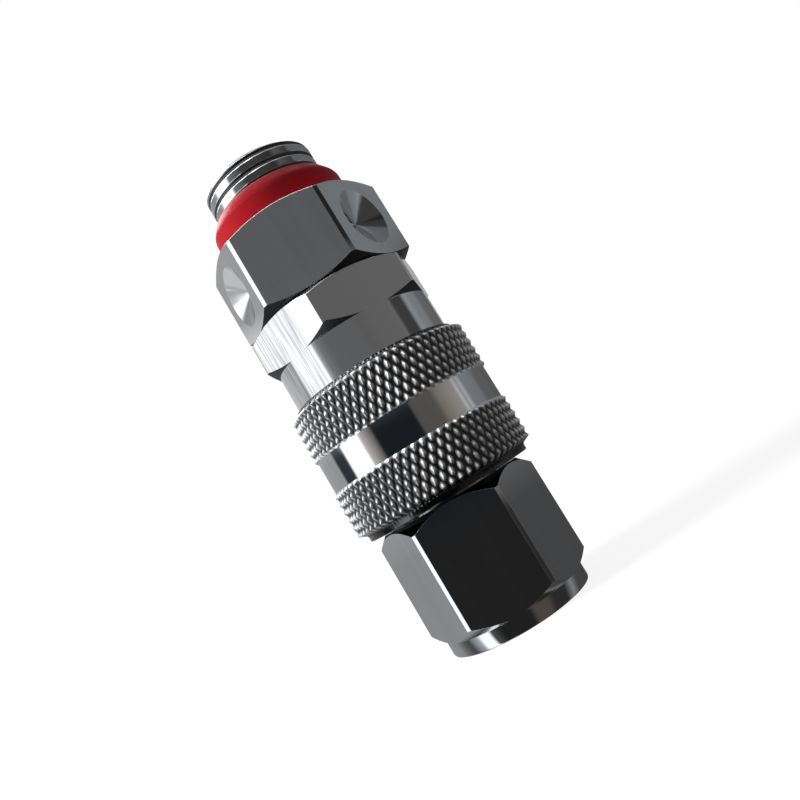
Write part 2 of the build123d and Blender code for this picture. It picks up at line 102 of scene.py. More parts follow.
class FittingSizes(bpy.types.PropertyGroup):
    """Sizes of the pieces, where the frame's boxes don't give them."""
    plug_flats: length("Plug hexagon", "Plug hexagon across flats", 17.0)
    socket_flats: length("Socket hexagons", "Body and adapter hexagons across flats", 19.0)
    bevel_cut: length("Corner bevel", "How far a hexagon corner is cut back along each flat", 0.29)
    collar_radius: length("Collar radius", "Round collar at the plug's end", 8.45)
    collar_height: length("Collar height", "Straight part of the collar", 1.75)
    plug_hex_top: length("Plug hexagon top", "Height of the plug's shoulder", 14.8)
    plug_shoulder: length("Plug shoulder", "Radius of the flat face on top of the plug's hexagon", 8.4)
    stem_radius: length("Stem radius", "Guide and locking collar of the plug's stem", 5.95)
    nose_radius: length("Nose radius", "Nose and ball groove of the plug's stem", 5.0)
    ball_height: length("Ball height", "Height of the locking balls", 19.2)
    port_crest: length("Port thread crest", "Radius at the crests of the female thread", 5.9)
    port_depth: length("Port depth", "Depth of the female thread's bore", 10.5)
    flow_radius: length("Flow bore", "Radius of the plug's through bore", 3.5)
    tube_radius: length("Front tube radius", "Outside of the tube that carries the balls", 8.0)
    neck_radius: length("Neck radius", "Round neck below the body hexagon", 9.62)
    neck_bottom: length("Neck foot", "Height where the neck starts", 29.7)
    body_turn: angle("Body turn", "Turn of the body's hexagon from the plug's", 23.77)
    ball_hole: length("Ball hole", "Radius of the holes for the locking balls", 1.6)
    ring_groove: length("Ring groove", "Radius at the floor of the retaining ring's groove", 7.55)
    mouth_radius: length("Mouth radius", "Threaded mouth that takes the adapter's boss", 7.5)
    mouth_foot: length("Mouth foot", "Height of the mouth's floor", 36.4)
    chamber_radius: length("Chamber radius", "Chamber of the valve", 6.9)
    chamber_foot: length("Chamber foot", "Height of the valve's seat", 30.2)
    throat_radius: length("Throat radius", "Air way through the valve's seat", 4.4)
    throat_foot: length("Throat foot", "Height where the throat ends", 29.4)
    nose_bore: length("Nose bore", "Bore round the plug's nose", 5.1)
    seal_radius: length("Seal groove", "Radius at the floor of the seal's groove", 6.85)
    seal_foot: length("Seal groove foot", "Height of the seal's groove", 24.67)
    seal_top: length("Seal groove top", "Height where the seal's groove ends", 26.53)
    guide_bore: length("Guide bore", "Bore round the plug's stem", 6.05)
    guide_top: length("Guide top", "Height where the guide bore ends", 22.2)
    shoulder_height: length("Shoulder height", "Height where the neck widens into the hexagon", 35.65)
    spigot_radius: length("Spigot radius", "Crests of the male thread", 6.78)
    spigot_bore: length("Spigot bore", "Bore of the spigot", 4.2)
    boss_radius: length("Boss radius", "Outside of the adapter's screwed boss", 7.45)
    boss_bore: length("Boss bore", "Bore of the adapter's screwed boss", 5.7)
    adapter_turn: angle("Adapter turn", "Turn of the adapter's hexagon from the plug's", -2.05)
    spring_seat: length("Spring seat", "Height of the step that the valve's spring stands against", 42.2)
    ring_depth: length("Ring depth", "Depth of the groove for the adapter's O-ring", 1.35)
    ring_foot: length("Ring foot", "Height of the O-ring's groove", 38.68)
    ring_top: length("Ring top", "Height where the O-ring's groove ends", 40.02)
    relief_radius: length("Thread relief", "Radius of the spigot under the washer", 6.2)
    washer_bore: length("Washer bore", "Bore of the sealing washer", 6.25)
    washer_lip: length("Washer lip", "Upper rim of the sealing washer's cone", 7.15)
    washer_cone: length("Washer cone", "Height of the sealing washer's cone", 1.4)
    thread_pitch: length("Thread pitch", "Pitch of both pipe threads", 1.411)
    thread_depth: length("Thread depth", "Depth of the female thread", 0.5)
    spigot_depth: length("Spigot thread depth", "Depth of the spigot's shallow thread lines", 0.14)
    dimple_radius: length("Dimple radius", "Rim of the drilled dimples", 3.5)
    dimple_depth: length("Dimple depth", "Depth of the drilled dimples", 1.55)
    knurl_count: IntProperty(
        name="Knurl count", description="Knurl points in one row round the sleeve", default=68, min=3)
    knurl_row: length("Knurl row", "Height from one row of points to the next", 0.98)
    knurl_depth: length("Knurl depth", "Height of the knurl points", 0.36)
    knurl_power: FloatProperty(
        name="Knurl power", description="1 makes points, more makes cushions", default=1.15, min=0.5)
    run_out: length("Knurl run-out", "Height of a knurled band's slope beside the plain band", 0.33)
    band_radius: length("Band radius", "Plain band of the sleeve", 10.72)
    lip_radius: length("Lip radius", "Plain lip at the sleeve's lower end", 10.0)
    lip_height: length("Lip height", "Height of the lip", 0.55)
    lip_slope: length("Lip slope", "Height of the slope above the lip", 0.62)
    lower_band: length("Lower band", "Height of the lower knurled band", 5.85)
    upper_band: length("Upper band", "Height of the upper knurled band", 5.95)
    top_chamfer: length("Top chamfer", "How far the sleeve's upper end is turned back", 1.05)
    top_slope: length("Top slope", "Height of the slope at the sleeve's upper end", 0.72)
    ramp_radius: length("Ramp radius", "Bore at the sleeve's lower end", 9.27)
    ramp_start: length("Ramp start", "Height where the sleeve's release ramp starts", 16.0)
    land_foot: length("Land foot", "Height where the ramp meets the land on the balls", 19.82)
    land_top: length("Land top", "Height where the land on the balls ends", 22.0)
    land_radius: length("Land radius", "Bore of the land that holds the balls in", 8.06)
    sleeve_bore: length("Sleeve bore", "Bore that slides over the neck", 9.72)
    sleeve_coil: length("Sleeve coil", "Middle radius of the sleeve's spring", 8.86)
    sleeve_wire: length("Sleeve wire", "Radius of the wire of the sleeve's spring", 0.5)
    sleeve_turns: FloatProperty(
        name="Sleeve spring turns", description="Turns of the sleeve's spring", default=3.5, min=1)
    sleeve_travel: length("Sleeve travel", "How far the sleeve slides", 3.0)
    valve_coil: length("Valve coil", "Middle radius of the valve's spring", 4.95)
    valve_wire: length("Valve wire", "Radius of the wire of the valve's spring", 0.35)
    valve_turns: FloatProperty(
        name="Valve spring turns", description="Turns of the valve's spring", default=5.0, min=1)
    valve_travel: length("Valve travel", "How far the valve lifts", 1.5)


class FittingColours(bpy.types.PropertyGroup):
    """Colours of the finishes."""
    chrome: colour("Chrome", "Bright chrome plate", (0.66, 0.67, 0.69))
    washer_red: colour("Washer", "Red sealing washer", (0.60, 0.012, 0.022))
    rubber: colour("Rubber", "Black seals", (0.02, 0.02, 0.022))
    brass: colour("Valve brass", "Turned brass of the valve", (0.62, 0.42, 0.16))
    spring: colour("Spring steel", "Springs and retaining ring", (0.42, 0.42, 0.43))
    ball: colour("Ball steel", "Locking balls", (0.62, 0.62, 0.64))


class StudioSizes(bpy.types.PropertyGroup):
    """Camera of the photograph and the stage round the fitting."""
    camera_azimuth: angle("Camera azimuth", "Camera's turn round the bore axis from -Y toward +X", 2.82)
    camera_distance: length("Camera distance", "From the bore axis", 83.5)
    camera_height: length("Camera height", "Above the plug's foot", 17.26)
    camera_pitch: angle("Camera pitch", "Upward tilt", 6.6)
    camera_yaw: angle("Camera yaw", "Sideways turn", -0.54)
    camera_roll: angle("Camera roll", "Turn about the line of sight", 31.15)
    focal_length: FloatProperty(
        name="Focal length", description="In millimetres on a 36 mm frame", default=33.47, min=1)
    sun_energy: FloatProperty(name="Sun", description="Strength of the soft sun", default=2.75, min=0)
    sun_azimuth: angle("Sun azimuth", "Turn of the sun round the bore axis from -Y toward +X", -80)
    sun_tilt: angle("Sun tilt", "Tilt of the sun from straight overhead", 70)
    sun_spread: angle("Sun spread", "Angle over which the sun is spread", 25)
    sky_level: FloatProperty(
        name="Sky", description="Strength of the white surroundings", default=0.15, min=0)
    floor_glow: FloatProperty(
        name="Floor glow", description="How brightly the floor glows for the camera", default=0.86, min=0)
    floor_grey: FloatProperty(
        name="Floor grey", description="Lightness of the floor under its glow", default=0.42, min=0, max=1)
    floor_size: FloatProperty(
        name="Floor size", description="Half the width of the floor", default=3.0, min=0.1,
        subtype="DISTANCE", unit="LENGTH")
    wall_radius: length("Card wall radius", "Radius of the ring of studio cards", 70.0)
    wall_height: length("Card wall height", "Height of the ring of studio cards", 150.0)
    wall_depth: length("Card wall depth", "How far the ring of studio cards reaches below the floor", 40.0)


def hexagon_angles(across_flats, turn, per_flat=17):
    """Angles round a bevelled hexagon, with every bevel edge among them.

    Each flat is sampled evenly between its two bevels, and each bevel at its
    edges and middle. Angle 0 is +X, and a flat faces -Y before the turn.
    """
    sizes = bpy.context.scene.fitting_sizes
    corner = across_flats / math.sqrt(3)
    half_bevel = math.atan(sizes.bevel_cut * math.sin(math.pi / 3) / (corner - sizes.bevel_cut / 2))
    half_flat = math.pi / 6 - half_bevel
    flat = np.linspace(-half_flat, half_flat, per_flat)
    sextant = np.append(flat, math.pi / 6)
    normals = np.arange(6) * math.pi / 3 - math.pi / 2 + turn
    return (normals[:, None] + sextant[None, :]).ravel()


def hexagon_reach(angles, across_flats, turn):
    """Distance from the axis to a bevelled hexagon in each direction.

    The least of distance over cosine for the six flats and six bevels.
    """
    sizes = bpy.context.scene.fitting_sizes
    bevel_distance = across_flats / math.sqrt(3) - sizes.bevel_cut / 2
    least_cosine = 0.1
    reach = np.full_like(angles, np.inf)
    for side in range(12):
        distance = across_flats / 2 if side % 2 == 0 else bevel_distance
        facing = np.cos(angles - (side * math.pi / 6 - math.pi / 2 + turn))
        reach = np.minimum(reach, distance / np.maximum(facing, least_cosine))
    return reach


def turned_rows(profile, reach):
    """Rows of a bar of the given reach that is turned to a profile.

    Each row is the lesser of the profile's radius and the bar's reach. Where a
    slope of the profile crosses the bar's outline, one more row follows the
    crossing exactly, so that the edge between cone and flat is sharp.
    """
    rows = []
    for (r0, z0), (r1, z1) in zip(profile[:-1], profile[1:]):
        rows.append((np.minimum(r0, reach), np.full_like(reach, z0)))
        low, high = min(r0, r1), max(r0, r1)
        if high - low > 1e-6 and high > reach.min() and low < reach.max():
            share = np.clip((reach - r0) / (r1 - r0), 0, 1)
            rows.append((np.minimum(r0 + share * (r1 - r0), reach), z0 + share * (z1 - z0)))
    r_last, z_last = profile[-1]
    rows.append((np.minimum(r_last, reach), np.full_like(reach, z_last)))
    return rows


def plain_rows(profile, angles):
    """Rows of a plain turned profile."""
    return [(np.full_like(angles, r), np.full_like(angles, z)) for r, z in profile]


def thread_groove(angles, z, pitch):
    """Depth of a right-hand V thread, 0 at the crest and 1 at the root.

    The distance from the crest line along the pitch, left flat over the crest
    and falling evenly to a narrow root.
    """
    crest_share, flank_share = 0.6, 0.34
    phase = z / pitch - angles / TURN
    away = np.abs(2 * (phase - np.floor(phase)) - 1)
    return np.clip((away - crest_share) / flank_share, 0, 1)


def knurl_cut(angles, z, first_row):
    """How deep a diamond knurl is cut at one height, 0 on its points and 1 in its grooves.

    Two sets of V grooves wind opposite ways. Each set's share is the distance
    from its crest lines to the power given, and the cut is one minus the
    product of what the two leave.
    """
    s = bpy.context.scene.fitting_sizes
    around = s.knurl_count * angles / TURN
    along = (z - first_row) / (2 * s.knurl_row) + 0.5
    first = np.abs(2 * ((around + along) % 1) - 1)
    second = np.abs(2 * ((around - along) % 1) - 1)
    return 1 - (1 - first ** s.knurl_power) * (1 - second ** s.knurl_power)


def knurled_band(angles, radius, plain_side, outer_side, row_count=60):
    """Rows of one knurled band, from its lower end to its upper end.

    Each side is a height, a radius and the height of the slope that leads from
    it to the crests. The radius is the lesser of the two slopes, and the cut
    deepens along them, three times as fast from the outer side.
    """
    s = bpy.context.scene.fitting_sizes
    plain_z, plain_radius, plain_slope = plain_side
    outer_z, outer_radius, outer_slope = outer_side
    first_row = plain_z + math.copysign(plain_slope, outer_z - plain_z)
    rows = []
    for z in np.linspace(min(plain_z, outer_z), max(plain_z, outer_z), row_count):
        inner = min(abs(z - plain_z) / plain_slope, 1)
        outer = min(abs(outer_z - z) / outer_slope, 1)
        from_plain = plain_radius + (radius - plain_radius) * inner
        from_outer = outer_radius + (radius - outer_radius) * outer
        depth = s.knurl_depth * min(1, 3 * outer, inner)
        r = min(from_plain, from_outer) - depth * knurl_cut(angles, z, first_row)
        rows.append((r, np.full_like(angles, z)))
    return rows


def surface(name, angles, rows, sharp_angle=28.0):
    """A closed shell from rows that give radius and height at every angle.

    The point is radius times cosine and sine of the angle, and the last row
    joins the first, so the skin closes on itself through the bore.
    """
    radius = np.array([row[0] for row in rows])
    height = np.array([row[1] for row in rows])
    points = np.stack([radius * np.cos(angles), radius * np.sin(angles), height], axis=-1)
    row_count, column_count = radius.shape
    index = np.arange(row_count * column_count).reshape(row_count, column_count)
    right = np.roll(index, -1, axis=1)
    above = np.roll(index, -1, axis=0)
    corner = np.roll(right, -1, axis=0)
    quads = np.stack([index, right, corner, above], axis=-1).reshape(-1, 4)
    mesh = bpy.data.meshes.new(name)
    mesh.from_pydata(points.reshape(-1, 3), [], quads)
    return finish_mesh(name, mesh, sharp_angle)


def spots_of(mesh):
    """Coordinates of a mesh's points, one row for each."""
    spots = np.empty(len(mesh.vertices) * 3)
    mesh.vertices.foreach_get("co", spots)
    return spots.reshape(-1, 3)


def add_painted_shade(mesh, values):
    """Raises the piece's painted-shade attribute to the values given, one for each corner of each face."""
    painted_shade = mesh.attributes.get("painted_shade")
    if painted_shade is None:
        painted_shade = mesh.attributes.new("painted_shade", "FLOAT", "CORNER")
    before = np.empty(len(mesh.loops))
    painted_shade.data.foreach_get("value", before)
    painted_shade.data.foreach_set("value", np.maximum(before, values))


def mark_painted_shade(piece, heights, crests, depth, power=1.0, shade_below=-1.0, shade_above=1.0):
    """Paints shade by how deep each outer point lies below the crest line, 1 at the given depth.

    The share of the depth is raised to the power given. Points far below the
    line belong to the bore and get no shade. Points below the height shade_below
    get the full painted shade, and points above shade_above three quarters of it.
    """
    bore_share, upper_shade = 1.3, 0.75
    mesh = piece.data
    spots = spots_of(mesh)
    away = np.hypot(spots[:, 0], spots[:, 1])
    below = (np.interp(spots[:, 2], heights, crests) - away) / depth
    below[below > bore_share] = 0
    below = np.clip(below, 0, 1) ** power
    above = spots[:, 2] > shade_above
    below[above] = np.maximum(below[above], upper_shade)
    below[spots[:, 2] < shade_below] = 1
    ends = np.empty(len(mesh.loops), dtype=np.int32)
    mesh.loops.foreach_get("vertex_index", ends)
    add_painted_shade(mesh, below[ends])


def mark_knurl(piece, bands, inner):
    """Marks the outer points of the knurled bands, each from one height to another."""
    mesh = piece.data
    spots = spots_of(mesh)
    within = np.zeros(len(spots), dtype=bool)
    for low, high in bands:
        within |= (spots[:, 2] > low) & (spots[:, 2] < high)
    within &= np.hypot(spots[:, 0], spots[:, 1]) > inner
    knurl = mesh.attributes.new("knurl", "FLOAT", "POINT")
    knurl.data.foreach_set("value", within.astype(float))


def paint_shade_on_faces(piece, low, high, inner, sign):
    """Paints shade on the sloping faces between two heights that look up (1) or down (-1)."""
    least_slope = 0.3
    mesh = piece.data
    middles = np.empty(len(mesh.polygons) * 3)
    normals = np.empty(len(mesh.polygons) * 3)
    mesh.polygons.foreach_get("center", middles)
    mesh.polygons.foreach_get("normal", normals)
    middles = middles.reshape(-1, 3)
    normals = normals.reshape(-1, 3)
    away = np.hypot(middles[:, 0], middles[:, 1])
    within = (middles[:, 2] > low) & (middles[:, 2] < high) & (away > inner)
    corners = np.empty(len(mesh.polygons), dtype=np.int32)
    mesh.polygons.foreach_get("loop_total", corners)
    within &= normals[:, 2] * sign > least_slope
    add_painted_shade(mesh, np.repeat(within, corners).astype(float))


def finish_mesh(name, mesh, sharp_angle):
    """Merges doubled points, turns faces outward, and smooths all but sharp edges."""
    doubled, degenerate = 1e-7, 1e-8
    shell = bmesh.new()
    shell.from_mesh(mesh)
    bmesh.ops.remove_doubles(shell, verts=shell.verts, dist=doubled)
    bmesh.ops.dissolve_degenerate(shell, edges=shell.edges, dist=degenerate)
    bmesh.ops.recalc_face_normals(shell, faces=shell.faces)
    shell.to_mesh(mesh)
    shell.free()
    mesh.shade_smooth()
    mesh.set_sharp_from_angle(angle=math.radians(sharp_angle))
    piece = bpy.data.objects.new(name, mesh)
    bpy.context.scene.collection.objects.link(piece)
    return piece


def subtract(piece, cutters, sharp_angle=28.0):
    """The piece with closed cutters taken out of it."""
    for cutter in cutters:
        cut = piece.modifiers.new("cut", "BOOLEAN")
        cut.operation = "DIFFERENCE"
        cut.solver = "EXACT"
        cut.object = cutter
    bpy.context.view_layer.update()
    graph = bpy.context.evaluated_depsgraph_get()
    mesh = bpy.data.meshes.new_from_object(piece.evaluated_get(graph))
    piece.modifiers.clear()
    piece.data = mesh
    mesh.shade_smooth()
    mesh.set_sharp_from_angle(angle=math.radians(sharp_angle))
    for cutter in cutters:
        bpy.data.objects.remove(cutter)


def cone_cutter(origin, direction, profile, sides=96):
    """A closed cone or cylinder along a level direction, from a profile of radius and distance."""
    axis = np.array(direction, float)
    across = np.cross(axis, (0, 0, 1.0))
    up = np.cross(across, axis)
    turn = np.linspace(0, TURN, sides, endpoint=False)
    rim = np.cos(turn)[:, None] * across + np.sin(turn)[:, None] * up
    points = np.concatenate([np.array(origin) + axis * far + rim * r for r, far in profile])
    rings = np.arange(len(profile) * sides).reshape(len(profile), sides)
    faces = []
    for low, high in zip(rings[:-1], rings[1:]):
        faces += np.stack([low, np.roll(low, -1), np.roll(high, -1), high], axis=-1).tolist()
    faces += [rings[0][::-1].tolist(), rings[-1].tolist()]
    mesh = bpy.data.meshes.new("cutter")
    mesh.from_pydata(points, [], faces)
    return finish_mesh("cutter", mesh, 30)


def coil(name, bottom, top, coil_radius, wire_radius, turns):
    """A round wire spring: a circle of wire carried along a helix."""
    steps, sides = 48, 16
    along = np.linspace(0, 1, int(turns * steps) + 1)
    round_wire = np.linspace(0, TURN, sides, endpoint=False)
    swing = along * turns * TURN
    rise = (top - bottom - 2 * wire_radius) / (turns * TURN)
    flat = 0 * swing
    out = np.stack([np.cos(swing), np.sin(swing), flat], axis=-1)
    forward = np.stack([-coil_radius * out[:, 1], coil_radius * out[:, 0], flat + rise], axis=-1)
    forward /= np.linalg.norm(forward, axis=-1, keepdims=True)
    side = np.cross(forward, out)
    centre = out * coil_radius
    centre[:, 2] = bottom + wire_radius + rise * swing
    outward = np.cos(round_wire)[None, :, None] * out[:, None]
    sideways = np.sin(round_wire)[None, :, None] * side[:, None]
    points = centre[:, None] + (outward + sideways) * wire_radius
    rings = np.arange(points.shape[0] * points.shape[1]).reshape(points.shape[:2])
    low, high = rings[:-1], rings[1:]
    quads = np.stack([low, np.roll(low, -1, 1), np.roll(high, -1, 1), high], axis=-1)
    faces = quads.reshape(-1, 4).tolist()
    faces += [rings[0][::-1].tolist(), rings[-1].tolist()]
    mesh = bpy.data.meshes.new(name)
    mesh.from_pydata(points.reshape(-1, 3), [], faces)
    return finish_mesh(name, mesh, 40)


def new_material(name):
    """A material with only its principled shader and output, and its node tools."""
    material = bpy.data.materials.new(name)
    material.use_nodes = True
    nodes = material.node_tree.nodes
    return material, nodes, material.node_tree.links, nodes["Principled BSDF"]


def feed(links, entry, value):
    """Joins a node's input to a socket, or sets it to a number."""
    if isinstance(value, bpy.types.NodeSocket):
        links.new(value, entry)
    else:
        entry.default_value = value


def combine(nodes, links, operation, first, second):
    """The result of one operation on two sockets or numbers."""
    node = nodes.new("ShaderNodeMath")
    node.operation = operation
    feed(links, node.inputs[0], first)
    feed(links, node.inputs[1], second)
    return node.outputs["Value"]


def remap(nodes, links, value, source=(0.0, 1.0), target=(0.0, 1.0), easing="LINEAR"):
    """A value brought from one range to another and held at its ends."""
    node = nodes.new("ShaderNodeMapRange")
    node.interpolation_type = easing
    for name, end in zip(("From Min", "From Max", "To Min", "To Max"), (*source, *target)):
        feed(links, node.inputs[name], end)
    links.new(value, node.inputs["Value"])
    return node.outputs["Result"]


def add_noise(nodes, links, scale, detail, stretch=(1, 1, 1)):
    """Noise on Object coordinates, stretched along the axes."""
    place = nodes.new("ShaderNodeTexCoord")
    mapping = nodes.new("ShaderNodeMapping")
    mapping.inputs["Scale"].default_value = stretch
    noise = nodes.new("ShaderNodeTexNoise")
    noise.inputs["Scale"].default_value = scale
    noise.inputs["Detail"].default_value = detail
    links.new(place.outputs["Object"], mapping.inputs["Vector"])
    links.new(mapping.outputs["Vector"], noise.inputs["Vector"])
    return noise.outputs["Fac"]


def read_attribute(nodes, name):
    """The value of one of the piece's attributes, 0 where it has none."""
    spot = nodes.new("ShaderNodeAttribute")
    spot.attribute_name = name
    return spot.outputs["Fac"]


def two_tone(nodes, links, share, tint, dark, light):
    """A colour that goes from the dark share of a tint to the light one."""
    tone = nodes.new("ShaderNodeMixRGB")
    tone.inputs["Color1"].default_value = (*[c * dark for c in tint], 1)
    tone.inputs["Color2"].default_value = (*[min(1, c * light) for c in tint], 1)
    links.new(share, tone.inputs["Fac"])
    return tone.outputs["Color"]


def add_relief(nodes, links, shader, height, strength, depth, normal=None):
    """Fine relief on the shader, over the normal given."""
    bump = nodes.new("ShaderNodeBump")
    bump.inputs["Strength"].default_value = strength
    bump.inputs["Distance"].default_value = depth
    links.new(height, bump.inputs["Height"])
    if normal is not None:
        links.new(normal, bump.inputs["Normal"])
    links.new(bump.outputs["Normal"], shader.inputs["Normal"])


def chrome_finish(name, roughness, grain, edge, painted_shade_tone, stretch=(1, 1, 0.05), fine=900,
                  dark_line=0.985, lined_side=None, satin=None):
    """Bright chrome plate with rounded edges, faint drawn lines, uneven polish and painted shade.

    Painted shade: the piece's painted-shade attribute darkens the plate's colour down to
    the share of its shade tone. Where lined_side is given, the lines show only on
    the side where X is less. Where satin is given, as the name of an attribute,
    a roughness and a gain, the plate is that rough where the attribute is 1,
    and its colour is raised by the gain.
    """
    line_range, painted_shade_range, light_line, line_depth = (0.36, 0.62), (0.25, 0.85), 1.04, 0.01 * MM
    material, nodes, links, shader = new_material(name)
    shader.inputs["Metallic"].default_value = 1.0
    tint = bpy.context.scene.fitting_colours.chrome
    lines = add_noise(nodes, links, scale=fine, detail=2, stretch=stretch)
    clouds = add_noise(nodes, links, scale=160, detail=3)
    polish = remap(nodes, links, clouds, target=(roughness * 0.7, roughness * 1.4))
    crest_tone = 1.0
    if satin is not None:
        attribute, satin_roughness, gain = satin
        spot = read_attribute(nodes, attribute)
        dull = combine(nodes, links, "MULTIPLY", spot, satin_roughness)
        polish = combine(nodes, links, "MAXIMUM", dull, polish)
        crest_tone = remap(nodes, links, spot, target=(1.0, gain))
    links.new(polish, shader.inputs["Roughness"])
    drawn = remap(nodes, links, lines, line_range)
    if lined_side is not None:
        place = nodes.new("ShaderNodeTexCoord")
        split = nodes.new("ShaderNodeSeparateXYZ")
        links.new(place.outputs["Object"], split.inputs["Vector"])
        plain = remap(nodes, links, split.outputs["X"], (lined_side - 1 * MM, lined_side))
        drawn = combine(nodes, links, "MAXIMUM", plain, drawn)
    tone = two_tone(nodes, links, drawn, tint, dark_line, light_line)
    # Painted shade: the attribute read here darkens the plate's colour in grooves, crevices and on faces
    # under shoulders.
    painted_shade = read_attribute(nodes, "painted_shade")
    darken = nodes.new("ShaderNodeVectorMath")
    darken.operation = "SCALE"
    shade = remap(nodes, links, painted_shade, painted_shade_range, (crest_tone, painted_shade_tone), "SMOOTHSTEP")
    links.new(tone, darken.inputs[0])
    links.new(shade, darken.inputs["Scale"])
    links.new(darken.outputs["Vector"], shader.inputs["Base Color"])
    round_edge = nodes.new("ShaderNodeBevel")
    round_edge.samples = 6
    round_edge.inputs["Radius"].default_value = edge
    add_relief(nodes, links, shader, lines, grain, line_depth, round_edge.outputs["Normal"])
    return material


def metal_finish(name, tint, roughness, stretch=(1, 1, 1)):
    """Bare turned metal with fine tool lines."""
    material, nodes, links, shader = new_material(name)
    shader.inputs["Metallic"].default_value = 1.0
    shader.inputs["Roughness"].default_value = roughness
    lines = add_noise(nodes, links, scale=1200, detail=3, stretch=stretch)
    tone = two_tone(nodes, links, lines, tint, dark=0.8, light=1.15)
    links.new(tone, shader.inputs["Base Color"])
    add_relief(nodes, links, shader, lines, strength=0.25, depth=0.02 * MM)
    return material


def polymer_finish(name, tint, roughness, mottle, shine=0.3):
    """Moulded plastic or rubber with a soft mottle and a fine pebble."""
    material, nodes, links, shader = new_material(name)
    shader.inputs["Roughness"].default_value = roughness
    shader.inputs["Specular IOR Level"].default_value = shine
    clouds = add_noise(nodes, links, scale=420, detail=4)
    tone = two_tone(nodes, links, clouds, tint, dark=1 - mottle, light=1 + mottle)
    links.new(tone, shader.inputs["Base Color"])
    add_relief(nodes, links, shader, clouds, strength=0.3, depth=0.03 * MM)
    return material


def dress(piece, material):
    """Gives the piece one material."""
    piece.data.materials.clear()
    piece.data.materials.append(material)


class FITTING_OT_plug(bpy.types.Operator):
    """Make the plug: hexagon, round collar, threaded port and stem"""
    bl_idname = "fitting.plug"
    bl_label = "Plug"

    def execute(self, context):
        s = context.scene.fitting_sizes
        angles = hexagon_angles(s.plug_flats, 0.0)
        reach = hexagon_reach(angles, s.plug_flats, 0.0)
        corner = s.plug_flats / math.sqrt(3)
        foot_rise = (corner - s.collar_radius) * COLLAR_SLOPE
        rim = 0.22 * MM
        rim_share = 0.3
        outside = [
            (s.collar_radius - rim, 0.0),
            (s.collar_radius - rim_share * rim, rim_share * rim),
            (s.collar_radius, rim),
            (s.collar_radius, s.collar_height),
            (corner, s.collar_height + foot_rise),
            (corner, s.plug_hex_top - (corner - s.plug_shoulder)),
            (s.plug_shoulder, s.plug_hex_top),
        ]
        rows = turned_rows(outside, np.maximum(reach, s.collar_radius))[:5]
        rows += turned_rows(outside[3:], reach)
        groove_mouth, groove_floor, collar_width = 1.65 * MM, 1.0 * MM, 0.95 * MM
        collar_top = s.ball_height + groove_mouth + collar_width
        stem_top, nose_bevel, drill_cone = top_of("plug"), 0.3 * MM, 1.4 * MM
        rows += plain_rows([
            (s.stem_radius, s.plug_hex_top),
            (s.stem_radius, s.ball_height - groove_mouth),
            (s.nose_radius, s.ball_height - groove_floor),
            (s.nose_radius, s.ball_height + groove_floor),
            (s.stem_radius, s.ball_height + groove_mouth),
            (s.stem_radius, collar_top),
            (s.nose_radius, collar_top + s.stem_radius - s.nose_radius),
            (s.nose_radius, stem_top - nose_bevel),
            (s.nose_radius - nose_bevel, stem_top),
            (s.flow_radius, stem_top),
            (s.flow_radius, s.port_depth + drill_cone),
            (s.port_crest, s.port_depth),
        ], angles)
        mouth, fade_height = 0.85 * MM, 0.7 * MM
        thread_end = s.port_depth - 0.9 * MM
        for z in np.linspace(s.port_depth - 0.2 * MM, 0.02 * MM, 84):
            fade = np.clip((thread_end - z) / fade_height, 0, 1)
            r = s.port_crest + fade * s.thread_depth * thread_groove(angles, z, s.thread_pitch)
            rows.append((np.maximum(r, s.port_crest + mouth - z), np.full_like(angles, z)))
        rows += plain_rows([(s.port_crest + mouth, 0.0)], angles)
        piece = surface("plug_body", angles, rows)
        # Painted shade on the upward faces at the top of the hexagon, under the sleeve's lower end.
        shaded_foot, shaded_top = s.plug_hex_top - 1.2 * MM, s.plug_hex_top + 0.1 * MM
        paint_shade_on_faces(piece, shaded_foot, shaded_top, s.stem_radius, 1)
        dress(piece, chrome_finish(
            "plug_chrome", roughness=0.05, grain=0.015, edge=0.09 * MM, painted_shade_tone=0.12))
        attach(piece, "plug")
        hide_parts("plug")
        return {"FINISHED"}


